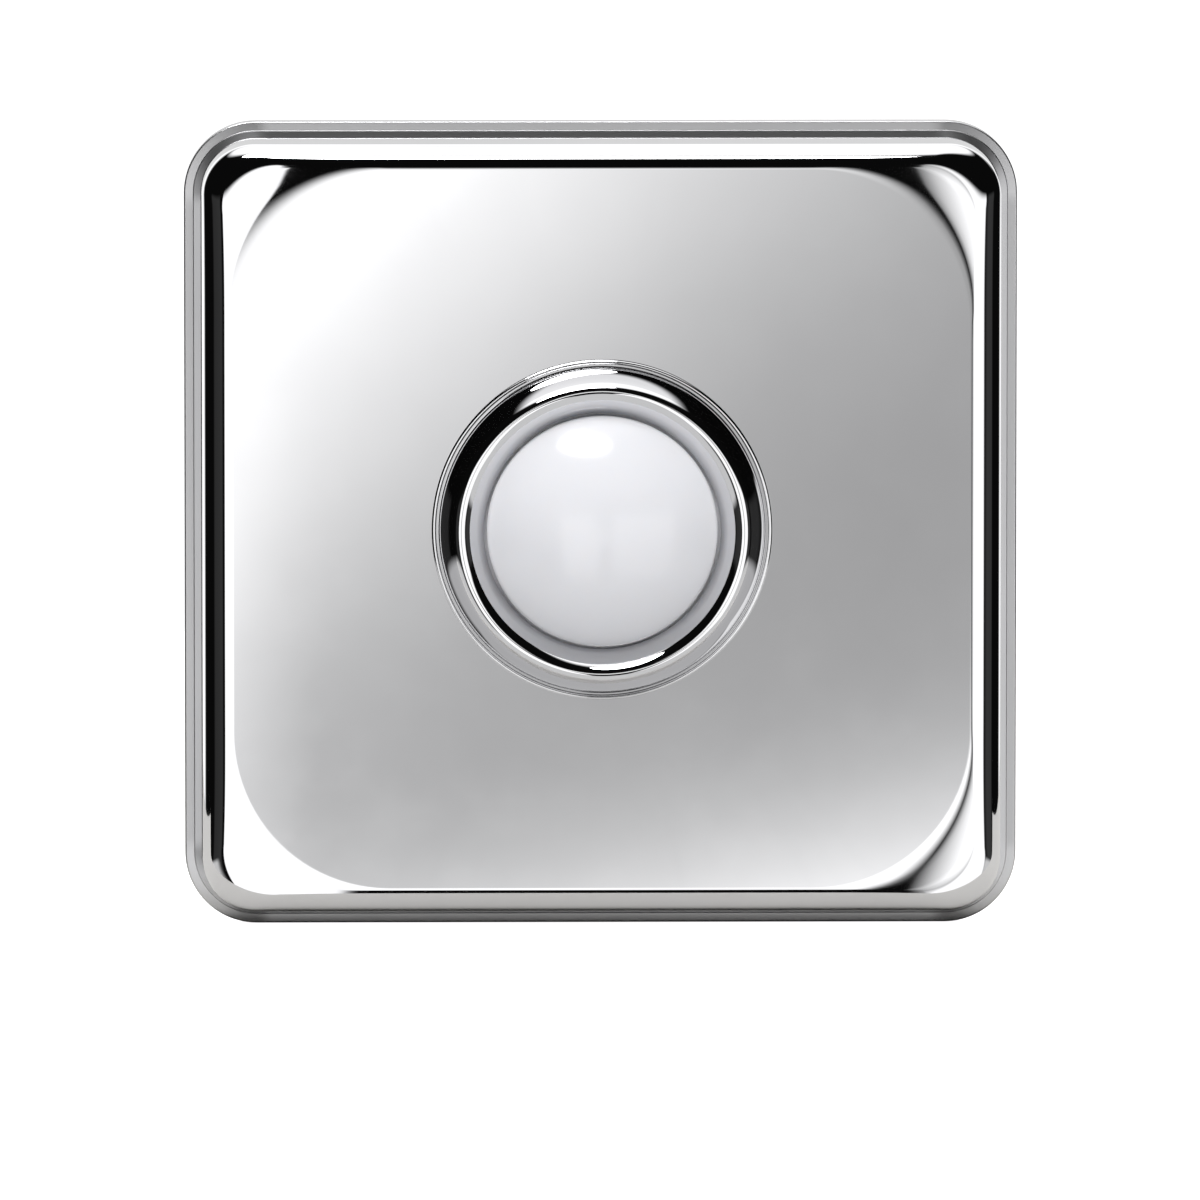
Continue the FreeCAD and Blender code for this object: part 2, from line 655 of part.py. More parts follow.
# Base: floor, turret, strip beds, bosses and snap hooks in one moulding
def makeBase():
    body = newBody("base_plate")
    floor = newSketch(body, "XZ_Plane", "floor")
    shrink = "2 * (flange_width + cover_wall + base_gap)"
    roundedBox(floor, f"plate_width - {shrink}", f"plate_height - {shrink}",
               "(plate_corner - flange_width - cover_wall - base_gap)")
    pad(body, "floor_pad", floor, "base_thick")
    turret = newSketch(body, "XZ_Plane", "turret")
    disc(turret, "0", "0", f"{guideRadius} - turret_inset")
    pad(body, "turret_pad", turret, "bed_height")
    fence = "(strip_width / 2 + strip_gap + fence_wall)"
    beds = newSketch(body, "XZ_Plane", "beds")
    box(beds, f"strip_thick - {stripEnd}", f"{stripEnd} - strip_thick", minus(fence), fence)
    pad(body, "bed_pad", beds, "bed_height + fence_rise")
    for side, name in ((-1, "low"), (1, "high")):
        boss = newSketch(body, "XZ_Plane", f"boss_{name}")
        disc(boss, "0", f"{side} * {screwPlace}", "boss_radius")
        pad(body, f"boss_{name}_pad", boss, "boss_height")
    rim = newSketch(body, "XZ_Plane", "cable_rim")
    disc(rim, cableAcross, cableUp, "cable_hole + cable_rim")
    pad(body, "cable_rim_pad", rim, "base_thick + cable_rim_rise")
    snapHooks(body)
    channel = newSketch(body, "XZ_Plane", "channel", "bed_height + fence_rise")
    reach = "(strip_width / 2 + strip_gap)"
    box(channel, minus(stripEnd), stripEnd, minus(reach), reach)
    pocket(body, "channel_cut", channel, "fence_rise")
    trim = newSketch(body, "XZ_Plane", "turret_top", "bed_height + fence_rise")
    disc(trim, "0", "0", f"{studPlace} + stud_head")
    pocket(body, "turret_top_cut", trim, "fence_rise")
    seat = newSketch(body, "XZ_Plane", "spring_seat", "bed_height")
    disc(seat, "0", "0", springSeat)
    pocket(body, "spring_seat_cut", seat, "bed_height - base_thick")
    groove = newSketch(body, "XZ_Plane", "lead_groove", "bed_height")
    box(groove, minus(grooveEnd), grooveEnd, "-lead_groove / 2", "lead_groove / 2")
    pocket(body, "lead_groove_cut", groove, "bed_height - groove_floor")
    for side, name in ((-1, "left"), (1, "right")):
        tail = newSketch(body, "XZ_Plane", f"tail_{name}", "bed_height")
        disc(tail, f"{side} * {studPlace}", "0", "stud_tail + pin_gap")
        pocket(body, f"tail_{name}_cut", tail, "stud_tail_thick + pin_gap")
        pin = newSketch(body, "XZ_Plane", f"rivet_{name}", "bed_height")
        disc(pin, f"{side} * {rivetPlace}", "0", "rivet_shank + pin_gap")
        pocket(body, f"rivet_{name}_cut", pin, "bed_height")
        sink = newSketch(body, "XZ_Plane", f"rivet_sink_{name}", "rivet_sink")
        disc(sink, f"{side} * {rivetPlace}", "0", "rivet_foot + 2 * pin_gap")
        pocket(body, f"rivet_sink_{name}_cut", sink, "rivet_sink")
        screw = newSketch(body, "XZ_Plane", f"terminal_{name}", "bed_height")
        disc(screw, f"{side} * {terminalPlace}", "0", "terminal_shank + pin_gap")
        pocket(body, f"terminal_{name}_cut", screw,
               "terminal_length - clamp_thick - strip_thick + pin_gap")
    wallScrewHoles(body)
    cable = newSketch(body, "XZ_Plane", "cable", "base_thick + cable_rim_rise")
    disc(cable, cableAcross, cableUp, "cable_hole")
    pocket(body, "cable_cut", cable, "base_thick + cable_rim_rise")


def snapHooks(body):
    # the barb leans on the front of the cover's catch rib, as the cover is pushed on from the front
    hookOut = f"({innerHalf} - base_gap - hook_gap)"
    rib = f"({catchBack} + catch_height + hook_play)"
    barbTop = f"({rib} + barb_length)"
    lean = f"({innerHalf} - {barbTop} * tan(wall_draft) - hook_gap)"
    arm = f"({innerHalf} - {catchBack} * tan(wall_draft) - catch_depth - 2 * hook_gap)"
    for side in (-1, 1):
        for level in (-1, 1):
            name = f"hook_{side + 1}{level + 1}"
            sketch = newSketch(body, "XY_Plane", name, f"{level} * {hookPlace}")
            points = [
                (f"{side} * ({arm} - hook_wall)", minus("base_thick / 2")),
                (f"{side} * {arm}", minus("base_thick / 2")),
                (f"{side} * {arm}", minus(rib)),
                (f"{side} * {lean}", minus(rib)),
                (f"{side} * {arm}", minus(barbTop)),
                (f"{side} * ({arm} - hook_wall)", minus(barbTop)),
            ]
            profile(sketch, points)
            pad(body, f"{name}_pad", sketch, "hook_length", SideType="Symmetric")


def wallScrewHoles(body):
    for side, name in ((-1, "low"), (1, "high")):
        sketch = newSketch(body, "XY_Plane", f"screw_{name}", f"{side} * {screwPlace}")
        sunk = "((screw_head / 2 - screw_hole) / tan(sink_angle / 2))"
        profile(sketch, [
            ("0", "0"),
            ("screw_hole", "0"),
            ("screw_hole", minus(f"boss_height - {sunk}")),
            ("screw_head / 2", minus("boss_height")),
            ("0", minus("boss_height")),
        ])
        cut = body.newObject("PartDesign::Groove", f"base_plate_screw_{name}_cut")
        cut.Profile = sketch
        cut.ReferenceAxis = (sketch, ["V_Axis"])
        finish(cut, False)


# Live parts on the base, drawn for the right side and turned half a turn for the left
def place(body, side, across):
    tie(body, "Placement.Base.x", f"{side} * {across}")


def makeStrip(side, name):
    body = newBody(f"contact_strip_{name}")
    flat = newSketch(body, "XZ_Plane", "flat", "bed_height")
    box(flat, stripStart, stripEnd, "-strip_width / 2", "strip_width / 2")
    pad(body, "flat_pad", flat, "strip_thick")
    tab = newSketch(body, "XZ_Plane", "tab", "bed_height")
    box(tab, f"{stripEnd} - strip_thick", stripEnd, "-strip_width / 2", "strip_width / 2")
    pad(body, "tab_pad", tab, "strip_thick + tab_rise")
    holes = newSketch(body, "XZ_Plane", "holes", stripTop)
    disc(holes, studPlace, "0", "stud_shank")
    disc(holes, rivetPlace, "0", "rivet_shank + pin_gap")
    disc(holes, terminalPlace, "0", "terminal_shank + pin_gap")
    pocket(body, "holes_cut", holes, "strip_thick")
    if side < 0:
        body.Placement = FreeCAD.Placement(V(0, 0, 0), FreeCAD.Rotation(V(0, 1, 0), 180))


def makeStud(side, name):
    body = newBody(f"contact_stud_{name}")
    dome = "((stud_head^2 + stud_dome^2) / (2 * stud_dome))"
    turned(body, [
        ("0", "bed_height - stud_tail_thick"),
        ("stud_tail", "bed_height - stud_tail_thick"),
        ("stud_tail", "bed_height"),
        ("stud_shank", "bed_height"),
        ("stud_shank", stripTop),
        ("stud_head", stripTop),
        ("stud_head", f"{studTop} - stud_dome"),
        ("0", studTop),
    ], {6: (dome, -1)})
    place(body, side, studPlace)


def makeRivet(side, name):
    body = newBody(f"strip_rivet_{name}")
    turned(body, [
        ("0", "rivet_sink - rivet_foot_thick"),
        ("rivet_foot", "rivet_sink - rivet_foot_thick"),
        ("rivet_foot", "rivet_sink"),
        ("rivet_shank", "rivet_sink"),
        ("rivet_shank", stripTop),
        ("rivet_head", stripTop),
        ("rivet_head_top", f"{stripTop} + rivet_head_thick"),
        ("0", f"{stripTop} + rivet_head_thick"),
    ])
    place(body, side, rivetPlace)


def makeTerminalScrew(side, name):
    body = newBody(f"terminal_screw_{name}")
    headTop = f"({clampTop} + terminal_head_thick)"
    turned(body, [
        ("0", f"{clampTop} - terminal_length"),
        ("terminal_shank - terminal_point", f"{clampTop} - terminal_length"),
        ("terminal_shank", f"{clampTop} - terminal_length + terminal_point"),
        ("terminal_shank", clampTop),
        ("terminal_head", clampTop),
        ("terminal_head", f"{headTop} - head_round"),
        ("terminal_head - head_round", headTop),
        ("0", headTop),
    ], {5: ("head_round", -1)})
    slot = newSketch(body, "XZ_Plane", "slot", headTop)
    box(slot, "-terminal_head", "terminal_head", "-driver_slot / 2", "driver_slot / 2")
    pocket(body, "slot_cut", slot, "driver_depth")
    place(body, side, terminalPlace)


def makeClamp(side, name):
    body = newBody(f"clamp_washer_{name}")
    plate = newSketch(body, "XZ_Plane", "plate", stripTop)
    roundedBox(plate, "clamp_side", "clamp_side", "clamp_corner")
    pad(body, "plate_pad", plate, "clamp_thick")
    hole = newSketch(body, "XZ_Plane", "hole", clampTop)
    disc(hole, "0", "0", "clamp_hole")
    pocket(body, "hole_cut", hole, "clamp_thick")
    place(body, side, terminalPlace)


def makeLead(side, name):
    # a stiff wire bent up at both ends: to the board inside and to the strip outside
    body = newBody(f"lamp_lead_{name}")
    path = newSketch(body, "XY_Plane", "path")
    low = "lead_height"
    corners = [
        ("lead_start", "base_thick"),
        ("lead_start", f"{low} + lead_bend"),
        ("lead_start + lead_bend", low),
        (f"{leadEnd} - lead_bend", low),
        (leadEnd, f"{low} + lead_bend"),
        (leadEnd, "bed_height"),
    ]
    profile(path, [(across, minus(up)) for across, up in corners],
            {1: ("lead_bend", -1), 3: ("lead_bend", -1)}, closed=False)
    section = newSketch(body, "XZ_Plane", "section", "base_thick")
    disc(section, "lead_start", "0", "lead_wire / 2")
    wire = body.newObject("PartDesign::AdditivePipe", f"{body.Label}_wire")
    wire.Profile = section
    wire.Spine = path
    finish(wire, True)
    if side < 0:
        body.Placement = FreeCAD.Placement(V(0, 0, 0), FreeCAD.Rotation(V(0, 1, 0), 180))


def makeLamp():
    board = newBody("lamp_board")
    turned(board, [("0", "base_thick"), (boardRadius, "base_thick"),
                   (boardRadius, boardTop), ("0", boardTop)])
    lamp = newBody("lamp")
    rimTop = f"({boardTop} + lamp_rim_thick)"
    straight = f"({rimTop} + lamp_straight)"
    turned(lamp, [
        ("0", boardTop),
        ("lamp_rim", boardTop),
        ("lamp_rim", rimTop),
        ("lamp_radius", rimTop),
        ("lamp_radius", straight),
        ("0", f"{straight} + lamp_radius"),
    ], {4: ("lamp_radius", -1)})
    flat = newSketch(lamp, "XZ_Plane", "flat", rimTop)
    box(flat, "-lamp_rim", "lamp_rim", "(lamp_rim + lamp_radius) / 2", "lamp_rim * 2")
    pocket(lamp, "flat_cut", flat, "lamp_rim_thick")
    chip = newBody("lamp_resistor")
    outline = newSketch(chip, "XZ_Plane", "outline", boardTop)
    inner = "(lamp_rim + resistor_gap)"
    box(outline, inner, f"{inner} + resistor_wide", "-resistor_long / 2", "resistor_long / 2")
    pad(chip, "chip_pad", outline, "resistor_thick")


def check():
    doc.recompute()
    for thing in doc.Objects:
        if "Invalid" in thing.State or "Error" in thing.State:
            raise RuntimeError(f"{thing.Name} did not recompute: {thing.State}")
    for body in parts:
        if body.Shape.isNull() or not body.Shape.isValid() or len(body.Shape.Solids) != 1:
            raise RuntimeError(f"{body.Label} is not one valid solid")


def write():
    os.makedirs("parts", exist_ok=True)
    for body in parts:
        body.Shape.exportStep(f"parts/{body.Label}.step")
        span = body.Shape.BoundBox
        print(f"{body.Label}: {body.Shape.Volume:.2f} mm3, "
              f"{span.XLength:.2f} x {span.YLength:.2f} x {span.ZLength:.2f} mm")


makeCover()
makeBezel()
annulus("bezel_seal", sealInner, sealOuter, plateDepth, f"{plateDepth} + seal_thick")
annulus("bezel_washer", collarHole, f"{collarRadius} + washer_width", nutFront, faceBack)
makeNut()
makeClip()
makeButton()
makeCarrier()
makeMovingContact()
makeSpring()
makeBase()
for side, name in ((-1, "left"), (1, "right")):
    makeStrip(side, name)
    makeStud(side, name)
    makeRivet(side, name)
    makeTerminalScrew(side, name)
    makeClamp(side, name)
    makeLead(side, name)
makeLamp()
check()
write()
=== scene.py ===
import json
from math import acos, asin, atan2, cos, degrees, hypot, pi, radians, sin, sqrt, tan

import bmesh
import bpy
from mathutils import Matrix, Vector

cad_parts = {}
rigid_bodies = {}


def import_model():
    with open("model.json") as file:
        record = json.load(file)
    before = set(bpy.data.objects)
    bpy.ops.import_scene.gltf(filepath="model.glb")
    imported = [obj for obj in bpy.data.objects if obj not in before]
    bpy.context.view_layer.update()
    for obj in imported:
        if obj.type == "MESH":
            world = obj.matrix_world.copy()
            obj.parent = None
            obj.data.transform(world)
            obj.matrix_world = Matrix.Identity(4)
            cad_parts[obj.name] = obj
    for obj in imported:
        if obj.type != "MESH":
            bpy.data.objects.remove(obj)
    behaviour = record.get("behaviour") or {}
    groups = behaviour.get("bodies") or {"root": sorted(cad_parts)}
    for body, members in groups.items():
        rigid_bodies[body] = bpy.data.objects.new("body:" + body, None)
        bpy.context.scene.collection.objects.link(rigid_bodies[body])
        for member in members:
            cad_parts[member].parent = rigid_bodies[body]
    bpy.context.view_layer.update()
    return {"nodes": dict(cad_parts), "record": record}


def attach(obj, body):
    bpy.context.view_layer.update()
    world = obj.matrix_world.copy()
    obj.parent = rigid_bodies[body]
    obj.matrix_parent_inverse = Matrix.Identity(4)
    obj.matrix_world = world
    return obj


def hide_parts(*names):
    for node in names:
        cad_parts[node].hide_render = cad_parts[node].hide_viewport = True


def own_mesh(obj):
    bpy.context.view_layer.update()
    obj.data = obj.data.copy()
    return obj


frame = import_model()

mm = 0.001
weld = 0.0005 * mm
noiseSpan = (0.3, 0.7)
noiseDetail = {"tint": 3.0, "wear": 5.0, "grain": 2.0}


# working helpers

def deselectAll():
    if bpy.context.object and bpy.context.object.mode != "OBJECT":
        bpy.ops.object.mode_set(mode="OBJECT")
    bpy.ops.object.select_all(action="DESELECT")


def activate(obj):
    deselectAll()
    obj.select_set(True)
    bpy.context.view_layer.objects.active = obj


def startPiece(name):
    # an empty mesh in edit mode: a plane with its corners taken away
    deselectAll()
    bpy.ops.mesh.primitive_plane_add(size=mm)
    obj = bpy.context.object
    obj.name = name
    obj.data.name = name
    bpy.ops.object.mode_set(mode="EDIT")
    bpy.ops.mesh.select_all(action="SELECT")
    bpy.ops.mesh.delete(type="VERT")
    return obj


def applyAll(obj):
    activate(obj)
    for modifier in list(obj.modifiers):
        bpy.ops.object.modifier_apply(modifier=modifier.name)


def finishPiece(obj, body, material, replaced, sharp=30, weighted=True):
    bpy.ops.mesh.select_all(action="SELECT")
    bpy.ops.mesh.remove_doubles(threshold=weld)
    bpy.ops.mesh.normals_make_consistent(inside=False)
    bpy.ops.object.mode_set(mode="OBJECT")
    activate(obj)
    bpy.ops.object.shade_smooth_by_angle(angle=radians(sharp))
    if weighted:
        weight = obj.modifiers.new("weight", "WEIGHTED_NORMAL")
        weight.keep_sharp = True
        applyAll(obj)
    obj.data.materials.clear()
    obj.data.materials.append(material)
    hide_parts(*replaced)
    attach(obj, body)
    print(f"{obj.name}: {len(obj.data.polygons)} faces")


def latheRing(points, steps):
    # extrudes one vertex along (radius, height above the wall) and spins the line about Y
    bpy.ops.mesh.primitive_plane_add(size=mm)
    bpy.ops.mesh.merge(type="CENTER")
    here = Vector((points[0][0] * mm, -points[0][1] * mm, 0))
    bpy.ops.transform.translate(value=here)
    for radius, height in points[1:]:
        there = Vector((radius * mm, -height * mm, 0))
        bpy.ops.mesh.extrude_region_move(TRANSFORM_OT_translate={"value": there - here})
        here = there
    bpy.ops.mesh.select_linked()
    bpy.ops.mesh.spin(steps=steps, angle=2 * pi, center=(0, 0, 0), axis=(0, 1, 0))


def arc(centre, radius, first, last, steps):
    # points on a circle in (radius, height); angles in degrees from straight out towards the front
    return [(centre[0] + radius * cos(radians(first + (last - first) * i / steps)),
             centre[1] + radius * sin(radians(first + (last - first) * i / steps)))
            for i in range(steps + 1)]


# materials

def newMaterial(name):
    material = bpy.data.materials.new(name)
    material.use_nodes = True
    tree = material.node_tree
    shader = tree.nodes["Principled BSDF"]
    place = tree.nodes.new("ShaderNodeTexCoord")
    return material, tree, shader, place


def noise(tree, place, scale, detail):
    texture = tree.nodes.new("ShaderNodeTexNoise")
    texture.inputs["Scale"].default_value = scale
    texture.inputs["Detail"].default_value = detail
    tree.links.new(place.outputs["Object"], texture.inputs["Vector"])
    return texture


def mapped(tree, source, low, high, start=noiseSpan[0], end=noiseSpan[1]):
    stretch = tree.nodes.new("ShaderNodeMapRange")
    stretch.inputs["From Min"].default_value = start
    stretch.inputs["From Max"].default_value = end
    stretch.inputs["To Min"].default_value = low
    stretch.inputs["To Max"].default_value = high
    tree.links.new(source, stretch.inputs["Value"])
    return stretch.outputs["Result"]


def mathNode(tree, operation, *inputs):
    step = tree.nodes.new("ShaderNodeMath")
    step.operation = operation
    for socket, value in zip(step.inputs, inputs):
        if isinstance(value, (int, float)):
            socket.default_value = value
        else:
            tree.links.new(value, socket)
    return step.outputs["Value"]


def fade(tree, source, start, end):
    # 0 below start, 1 above end
    step = tree.nodes.new("ShaderNodeMapRange")
    step.interpolation_type = "SMOOTHSTEP"
    step.inputs["From Min"].default_value = start
    step.inputs["From Max"].default_value = end
    tree.links.new(source, step.inputs["Value"])
    return step.outputs["Result"]


def rampOf(tree, source, stops):
    # a level that runs through (place, level) stops, first to last
    low, high = stops[0][0], stops[-1][0]
    ramp = tree.nodes.new("ShaderNodeValToRGB")
    brightest = max(level for place, level in stops)
    elements = ramp.color_ramp.elements
    while len(elements) < len(stops):
        elements.new(1.0)
    for element, (place, level) in zip(elements, stops):
        share = level / brightest
        element.position = (place - low) / (high - low)
        element.color = (share, share, share, 1)
    tree.links.new(mapped(tree, source, 0, 1, low, high), ramp.inputs["Fac"])
    return mathNode(tree, "MULTIPLY", ramp.outputs["Color"], brightest)


def blendColors(tree, source, first, second):
    ramp = tree.nodes.new("ShaderNodeValToRGB")
    ramp.color_ramp.elements[0].position, ramp.color_ramp.elements[1].position = noiseSpan
    ramp.color_ramp.elements[0].color = (*first, 1)
    ramp.color_ramp.elements[1].color = (*second, 1)
    tree.links.new(source, ramp.inputs["Fac"])
    return ramp.outputs["Color"]


def surface(name, look):
    # two close colours and a varying roughness from object-space noise, with a fine bump
    material, tree, shader, place = newMaterial(name)
    tint = noise(tree, place, look["scale"], noiseDetail["tint"])
    tree.links.new(blendColors(tree, tint.outputs["Fac"], look["color"], look["second"]),
                   shader.inputs["Base Color"])
    wear = noise(tree, place, look["wearScale"], noiseDetail["wear"])
    tree.links.new(mapped(tree, wear.outputs["Fac"], *look["roughness"]),
                   shader.inputs["Roughness"])
    shader.inputs["Metallic"].default_value = look.get("metallic", 0.0)
    for socket, value in look.get("sockets", {}).items():
        shader.inputs[socket].default_value = value
    if look.get("bump"):
        grain = noise(tree, place, look["bumpScale"], noiseDetail["grain"])
        bump = tree.nodes.new("ShaderNodeBump")
        bump.inputs["Strength"].default_value = 1.0
        bump.inputs["Distance"].default_value = look["bump"] * mm
        tree.links.new(grain.outputs["Fac"], bump.inputs["Height"])
        tree.links.new(bump.outputs["Normal"], shader.inputs["Normal"])
    return material


looks = {
    "chrome": {"color": (0.70, 0.70, 0.71), "second": (0.66, 0.66, 0.67), "scale": 60,
               "roughness": (0.015, 0.035), "wearScale": 220, "metallic": 1.0},
    "opal": {"color": (0.80, 0.805, 0.84), "second": (0.77, 0.775, 0.81), "scale": 90,
             "roughness": (0.10, 0.14), "wearScale": 300,
             "sockets": {"Subsurface Weight": 0.35, "Subsurface Radius": (0.8, 0.9, 1.0),
                         "Subsurface Scale": 0.0015, "IOR": 1.49}},
    "black_moulding": {"color": (0.018, 0.018, 0.019), "second": (0.03, 0.03, 0.03), "scale": 400,
                       "roughness": (0.38, 0.5), "wearScale": 900, "bump": 0.01,
                       "bumpScale": 3500},
    "white_moulding": {"color": (0.72, 0.71, 0.68), "second": (0.66, 0.65, 0.62), "scale": 200,
                       "roughness": (0.3, 0.42), "wearScale": 600, "bump": 0.006,
                       "bumpScale": 2500},
    "brass": {"color": (0.72, 0.50, 0.20), "second": (0.60, 0.40, 0.15), "scale": 350,
              "roughness": (0.2, 0.34), "wearScale": 900, "metallic": 1.0, "bump": 0.004,
              "bumpScale": 4000},
    "silver": {"color": (0.83, 0.82, 0.79), "second": (0.74, 0.72, 0.68), "scale": 700,
               "roughness": (0.18, 0.3), "wearScale": 1200, "metallic": 1.0},
    "zinc_steel": {"color": (0.62, 0.63, 0.64), "second": (0.52, 0.53, 0.55), "scale": 500,
                   "roughness": (0.25, 0.4), "wearScale": 900, "metallic": 1.0, "bump": 0.004,
                   "bumpScale": 3000},
    "spring_steel": {"color": (0.55, 0.55, 0.55), "second": (0.44, 0.44, 0.45), "scale": 800,
                     "roughness": (0.2, 0.3), "wearScale": 1200, "metallic": 1.0},
    "seal_rubber": {"color": (0.02, 0.02, 0.02), "second": (0.035, 0.035, 0.035), "scale": 500,
                    "roughness": (0.6, 0.8), "wearScale": 900, "bump": 0.008,
                    "bumpScale": 5000},
    "lamp_epoxy": {"color": (0.85, 0.87, 0.88), "second": (0.78, 0.80, 0.82), "scale": 300,
                   "roughness": (0.05, 0.1), "wearScale": 600,
                   "sockets": {"Transmission Weight": 0.6, "IOR": 1.52}},
    "board": {"color": (0.02, 0.11, 0.05), "second": (0.03, 0.15, 0.07), "scale": 900,
              "roughness": (0.3, 0.45), "wearScale": 1200, "bump": 0.006, "bumpScale": 6000},
    "chip": {"color": (0.03, 0.03, 0.035), "second": (0.06, 0.06, 0.065), "scale": 1500,
             "roughness": (0.4, 0.55), "wearScale": 2000},
    "tinned_wire": {"color": (0.68, 0.69, 0.70), "second": (0.58, 0.58, 0.60), "scale": 900,
                    "roughness": (0.25, 0.38), "wearScale": 1500, "metallic": 1.0},
}
materials = {name: surface(name, look) for name, look in looks.items()}

slotOf = {part["node"]: part["material_slot"] for part in frame["record"]["subparts"]}
for name, obj in frame["nodes"].items():
    obj.data.materials.clear()
    obj.data.materials.append(materials[slotOf[name]])
print("materials on", len(slotOf), "nodes")


# cover plate: rounded outlines bridged into one shell; lengths in millimetres, angles in
# degrees and the steepening in degrees a millimetre

cover = {
    "width": 65.0, "height": 62.8, "depth": 8.0, "corner": 5.6, "wall": 1.2, "hole": 11.2,
    "flangeWidth": 0.75, "flangeThick": 1.5, "flangeRound": 0.15, "footRound": 0.05,
    "draft": 8.0, "roll": 1.9, "rollOver": 85.8, "rollAcross": 0.37, "opening": 1.8,
    "faceInset": 3.4, "faceAcross": 0.5, "faceCorner": 12.2,
    "slope": 3.0, "steepening": 0.73, "sideRoot": 0.3, "cornerRoot": 1.5,
    "innerRoll": 0.8, "innerCorner": 11.0,
    "cornerSteps": 24, "sideCuts": 48, "rollSteps": 32, "innerSteps": 12, "landSteps": 10,
    "roundSteps": 5, "apart": 0.05,
    "ribBack": 2.2, "ribHigh": 1.0, "ribLong": 7.0, "ribDeep": 0.6, "ribPlace": 14.0,
    "ribRound": 0.12,
    # the flange has satin roughness and, as painted shade, a darker base colour
    "satinRough": 0.28, "paintedShadeLevel": 0.75, "satinTop": 1.7, "satinEdge": 0.05,
}


def markNew(number):
    # numbers the loop just added and selects it
    mesh = bmesh.from_edit_mesh(bpy.context.object.data)
    layer = mesh.verts.layers.int.get("loop") or mesh.verts.layers.int.new("loop")
    for vertex in mesh.verts:
        fresh = vertex[layer] in (0, number)
        vertex.select_set(fresh)
        if fresh:
            vertex[layer] = number
    mesh.select_flush(True)
    bmesh.update_edit_mesh(bpy.context.object.data)


def addOutline(inset, across, corner, rise, number):
    # one rounded outline in the plane at that height above the wall
    middle = (0, -rise * mm, 0)
    size = (cover["width"] - 2 * (inset + across), 1, cover["height"] - 2 * inset)
    bpy.ops.mesh.select_all(action="DESELECT")
    bpy.ops.mesh.primitive_plane_add(size=mm, location=middle, rotation=(pi / 2, 0, 0))
    bpy.ops.transform.resize(value=size, center_override=middle)
    bpy.ops.mesh.delete(type="ONLY_FACE")
    bpy.ops.mesh.select_all(action="DESELECT")
    markNew(number)
    bpy.ops.mesh.bevel(offset=corner * mm, offset_type="OFFSET", affect="VERTICES",
                       segments=cover["cornerSteps"], profile=0.5)
    markNew(number)
    mesh = bmesh.from_edit_mesh(bpy.context.object.data)
    # only the straight stretches are longer than a third of the plate
    straight = size[0] * mm / 3
    for edge in mesh.edges:
        edge.select_set(edge.select and edge.calc_length() > straight)
    bmesh.update_edit_mesh(bpy.context.object.data)
    bpy.ops.mesh.subdivide(number_cuts=cover["sideCuts"])
    markNew(number)


def addCircle(radius, rise, number):
    bpy.ops.mesh.select_all(action="DESELECT")
    bpy.ops.mesh.primitive_circle_add(
        vertices=4 * (cover["cornerSteps"] + 1 + cover["sideCuts"]), radius=radius * mm,
        location=(0, -rise * mm, 0), rotation=(pi / 2, 0, 0))
    markNew(number)


def joinLoops(first, second):
    mesh = bmesh.from_edit_mesh(bpy.context.object.data)
    layer = mesh.verts.layers.int.get("loop")
    for edge in mesh.edges:
        numbers = {vertex[layer] for vertex in edge.verts}
        edge.select_set(len(numbers) == 1 and numbers <= {first, second})
    bmesh.update_edit_mesh(bpy.context.object.data)
    bpy.ops.mesh.bridge_edge_loops()


def wallRun(roll, depth):
    # how far the leaning wall comes in between the flange and the roll
    lean = radians(cover["draft"])
    return (depth - roll * (1 - sin(lean)) - cover["flangeThick"]) * tan(lean)


def outerRows():
    # (inset, extra inset at the sides, corner, height, share of the droop) from the wall to the
    # face: flange, fillet, leaning wall, roll and the land that opens out at the corners
    thick, small, fillet = cover["flangeThick"], cover["flangeRound"], cover["footRound"]
    lean = radians(cover["draft"])
    rows = [(0, 0, 0)]
    for step in range(cover["roundSteps"] + 1):
        turn = pi / 2 * step / cover["roundSteps"]
        rows.append((small * (1 - cos(turn)), thick - small * (1 - sin(turn)), 0))
    middle = cover["flangeWidth"] + fillet * tan(lean) - fillet / cos(lean)
    for step in range(cover["roundSteps"] + 1):
        turn = (pi / 2 - lean) * step / cover["roundSteps"]
        rows.append((middle + fillet * sin(turn), thick + fillet * (1 - cos(turn)), 0))
    start = cover["flangeWidth"] + wallRun(cover["roll"], cover["depth"])
    for step in range(cover["rollSteps"] + 1):
        share = step / cover["rollSteps"]
        turn = lean + (radians(cover["rollOver"]) - lean) * share
        rows.append((start + cover["roll"] * (cos(lean) - cos(turn)),
                     cover["depth"] - cover["roll"] * (1 - sin(turn)), share))
    rows = [(inset, cover["rollAcross"] * share,
             cover["corner"] - inset + cover["opening"] * share ** 2, rise, share)
            for inset, rise, share in rows]
    end = rows[-1]
    for step in range(1, cover["landSteps"] + 1):
        share = step / cover["landSteps"]
        rows.append((end[0] + (cover["faceInset"] - end[0]) * share,
                     end[1] + (cover["faceAcross"] - end[1]) * share,
                     end[2] + (cover["faceCorner"] - end[2]) * share, cover["depth"], 1))
    return rows


